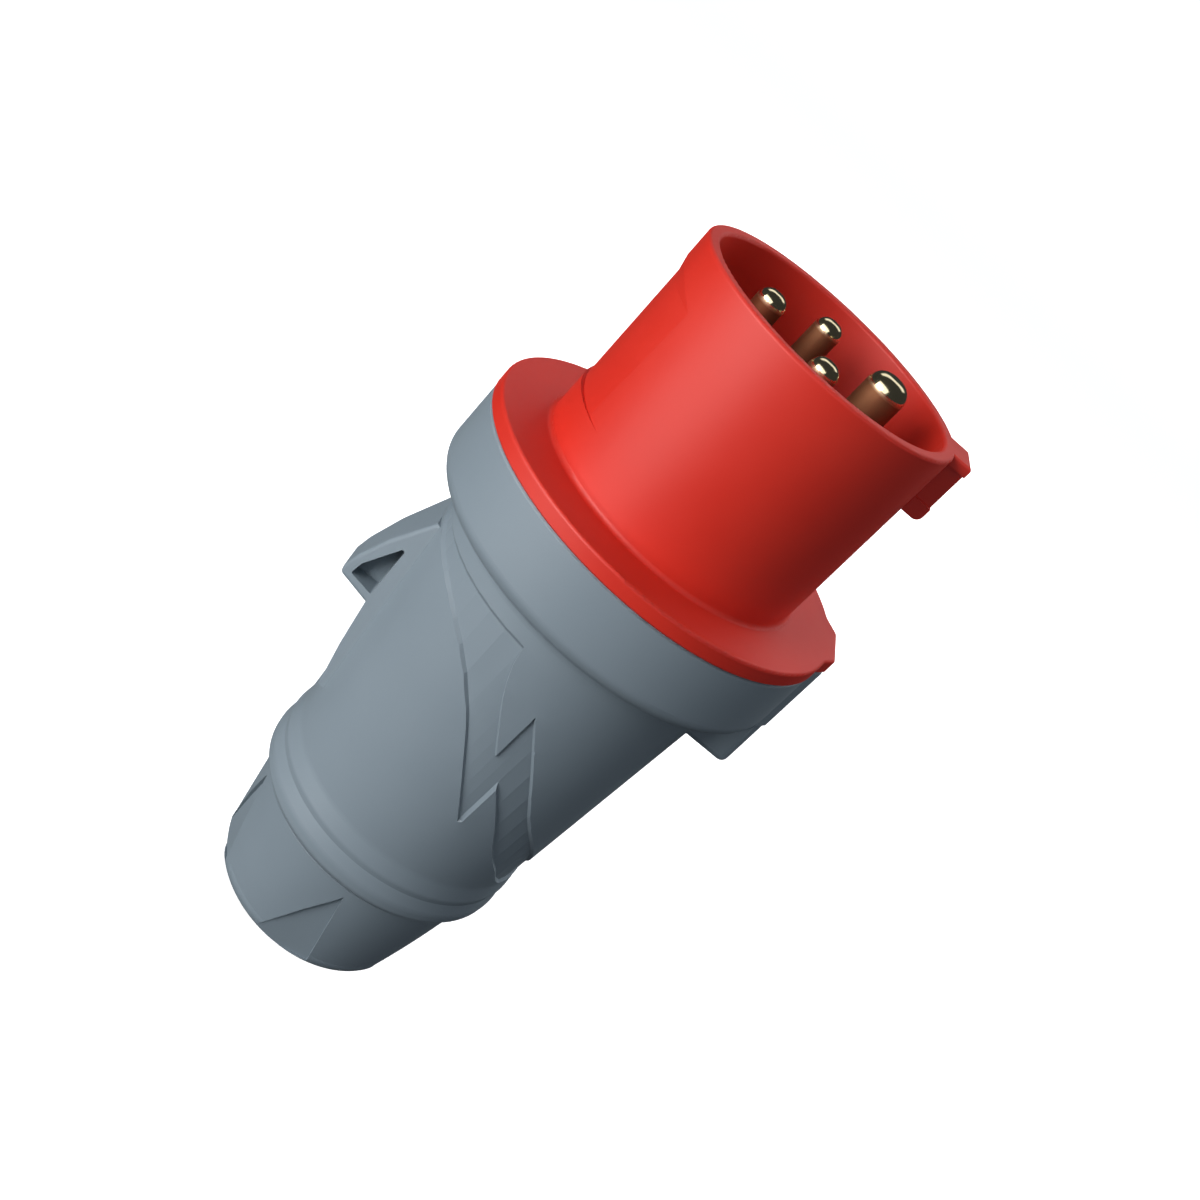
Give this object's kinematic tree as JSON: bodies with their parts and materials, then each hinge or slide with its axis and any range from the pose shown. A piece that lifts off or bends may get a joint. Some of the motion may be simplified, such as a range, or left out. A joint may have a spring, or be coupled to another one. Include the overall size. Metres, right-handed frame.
{
  "type": "industrial pin and sleeve plug",
  "caption": "Round four-pole power plug with a keyed red contact sleeve and flange, a tapered grey body with a hook, and a cable gland nut.",
  "frame": {"origin": "on the plug's axis at the gland nut's rear face, on which it stands", "axes": "+Z along the axis towards the mouth, +X towards the key and the earth pin (6 o'clock), -X towards the hook (12 o'clock)"},
  "size_m": [0.0696, 0.0684, 0.1428],
  "materials": {
    "red_plastic": "fine satin moulded finish",
    "grey_plastic": "fine matt moulded finish",
    "nut_plastic": "fine matt moulded finish",
    "black_plastic": "matt",
    "cage_plastic": "matt natural",
    "pin_brass": "bright turned and polished",
    "insert_brass": "turned and knurled",
    "screw_steel": "zinc plated",
    "spring_steel": "rolled strip",
    "seal_rubber": "matt"
  },
  "bodies": {
    "housing": {"front_sleeve": "red_plastic", "contact_carrier": "black_plastic", "earth_pin": "pin_brass", "line_pin_1": "pin_brass", "line_pin_2": "pin_brass", "line_pin_3": "pin_brass", "line_terminal_screws": "screw_steel", "earth_terminal_screw": "screw_steel", "carrier_screws": "screw_steel", "line_wire_guards": "spring_steel", "earth_wire_guard": "spring_steel", "flange_seal": "seal_rubber", "gland_seal": "seal_rubber", "seal_inner_ring": "seal_rubber", "closure_insert": "insert_brass", "closure_screw": "screw_steel", "closure_washer": "black_plastic", "rear_body": "grey_plastic", "clamp_cage": "cage_plastic"},
    "slip_ring": {"thrust_ring": "black_plastic"},
    "nut": {"gland_nut": "nut_plastic"}
  },
  "joints": [
    {"name": "nut_travel", "type": "slide", "parent": "housing", "child": "slip_ring", "axis": [0, 0, 1], "range_m": [-0.00752, 0]},
    {"name": "nut_turn", "type": "hinge", "parent": "slip_ring", "child": "nut", "pos_m": [0, 0, 0.0115], "axis": [0, 0, 1], "range_deg": [-1080, 0]}
  ],
  "couplings": [
    {"joint": "nut_travel", "follows": "nut_turn", "m_per_rad": 0.00039789}
  ]
}
